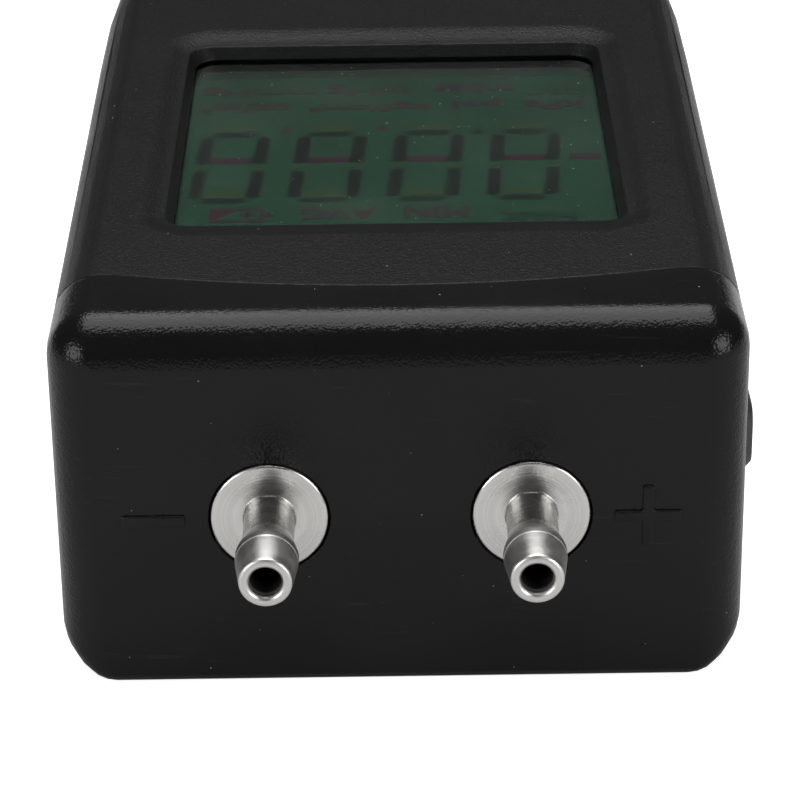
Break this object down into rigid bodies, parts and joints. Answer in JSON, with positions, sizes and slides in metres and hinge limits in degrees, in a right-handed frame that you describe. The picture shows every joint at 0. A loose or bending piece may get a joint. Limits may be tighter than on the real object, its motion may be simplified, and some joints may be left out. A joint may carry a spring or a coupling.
{
  "type": "digital manometer",
  "caption": "Handheld digital manometer: moulded case with a dished display window, press keys on a narrowed grip, flush battery door and barbed hose ports on its end cap.",
  "frame": {"origin": "on the flat rear face, on the centre line, at the middle of the housing's length without the ports", "axes": "+X to the side of the plus port and the side jack, +Y along the body away from the ports, +Z out of the front with the display; the instrument lies on its back"},
  "size_m": [0.0777, 0.2081, 0.0446],
  "materials": {
    "housing": "black ABS with a fine pebbled spark-eroded grain, half matt",
    "port_cap": "black ABS with the same fine pebbled grain, half matt",
    "battery_door": "black ABS, fine grain",
    "lens": "clear acrylic, polished, a little dust",
    "lcd_glass": "unlit liquid crystal panel, dark green behind its polariser, segments darker and maroon",
    "white_plastic": "moulded, matt",
    "light_guide": "milky moulded light guide",
    "zebra_rubber": "layered conductive rubber",
    "board_laminate": "green solder resist on glass laminate",
    "black_plastic": "moulded, matt",
    "chip_epoxy": "moulded epoxy",
    "tinned_can": "drawn can, tinned",
    "capacitor_sleeve": "shrunk sleeve",
    "sensor_plastic": "moulded, matt",
    "clear_silicone": "soft translucent tube",
    "nickel_plate": "turned brass, nickel plated, fine turning rings on the flange face",
    "black_rubber": "moulded, matt",
    "keypad_silicone": "moulded silicone, matt",
    "keycap_plastic": "dark grey moulded caps, matt",
    "battery_wrap": "plain wrapped steel jacket",
    "grey_foam": "closed cell foam",
    "red_insulation": "wire insulation",
    "black_insulation": "wire insulation",
    "zinc_steel": "zinc plated screw"
  },
  "bodies": {
    "case": {"amplifier_chip": "chip_epoxy", "backlight_panel": "light_guide", "battery": "battery_wrap", "battery_door": "battery_door", "battery_foam": "grey_foam", "battery_lead_minus": "black_insulation", "battery_lead_plus": "red_insulation", "battery_snap": "black_plastic", "board_header": "black_plastic", "board_screw_1": "zinc_steel", "board_screw_2": "zinc_steel", "board_screw_3": "zinc_steel", "board_screw_4": "zinc_steel", "buzzer": "black_plastic", "case_screw_1": "zinc_steel", "case_screw_2": "zinc_steel", "case_screw_3": "zinc_steel", "case_screw_4": "zinc_steel", "crystal_can": "tinned_can", "display_lens": "lens", "door_screw": "zinc_steel", "filter_capacitor": "capacitor_sleeve", "front_cover": "housing", "jack_cover": "black_rubber", "key_board": "board_laminate", "key_board_screw_1": "zinc_steel", "key_board_screw_2": "zinc_steel", "keypad_mat": "keypad_silicone", "lcd_frame": "white_plastic", "lcd_panel": "lcd_glass", "main_board": "board_laminate", "minus_fitting": "nickel_plate", "minus_fitting_nut": "nickel_plate", "minus_fitting_seal": "black_rubber", "minus_sensor_hose": "clear_silicone", "plus_fitting": "nickel_plate", "plus_fitting_nut": "nickel_plate", "plus_fitting_seal": "black_rubber", "plus_sensor_hose": "clear_silicone", "port_cap": "port_cap", "pressure_sensor": "sensor_plastic", "processor_chip": "chip_epoxy", "rear_cover": "housing", "side_jack": "black_plastic", "zebra_strip": "zebra_rubber"},
    "power_key": {"key_power": "keycap_plastic"},
    "light_key": {"key_light": "keycap_plastic"},
    "units_key": {"key_units": "keycap_plastic"},
    "hold_key": {"key_hold": "keycap_plastic"},
    "record_key": {"key_record": "keycap_plastic"},
    "zero_key": {"key_zero": "keycap_plastic"}
  },
  "joints": [
    {"name": "power_key_press", "type": "slide", "parent": "case", "child": "power_key", "axis": [0, 0, -1], "range_m": [0, 0.001], "stiffness_N_per_m": 350, "springref_m": -0.0004, "deforming": ["keypad_mat"]},
    {"name": "light_key_press", "type": "slide", "parent": "case", "child": "light_key", "axis": [0, 0, -1], "range_m": [0, 0.001], "stiffness_N_per_m": 350, "springref_m": -0.0004, "deforming": ["keypad_mat"]},
    {"name": "units_key_press", "type": "slide", "parent": "case", "child": "units_key", "axis": [0, 0, -1], "range_m": [0, 0.001], "stiffness_N_per_m": 350, "springref_m": -0.0004, "deforming": ["keypad_mat"]},
    {"name": "hold_key_press", "type": "slide", "parent": "case", "child": "hold_key", "axis": [0, 0, -1], "range_m": [0, 0.001], "stiffness_N_per_m": 350, "springref_m": -0.0004, "deforming": ["keypad_mat"]},
    {"name": "record_key_press", "type": "slide", "parent": "case", "child": "record_key", "axis": [0, 0, -1], "range_m": [0, 0.001], "stiffness_N_per_m": 350, "springref_m": -0.0004, "deforming": ["keypad_mat"]},
    {"name": "zero_key_press", "type": "slide", "parent": "case", "child": "zero_key", "axis": [0, 0, -1], "range_m": [0, 0.001], "stiffness_N_per_m": 350, "springref_m": -0.0004, "deforming": ["keypad_mat"]}
  ]
}
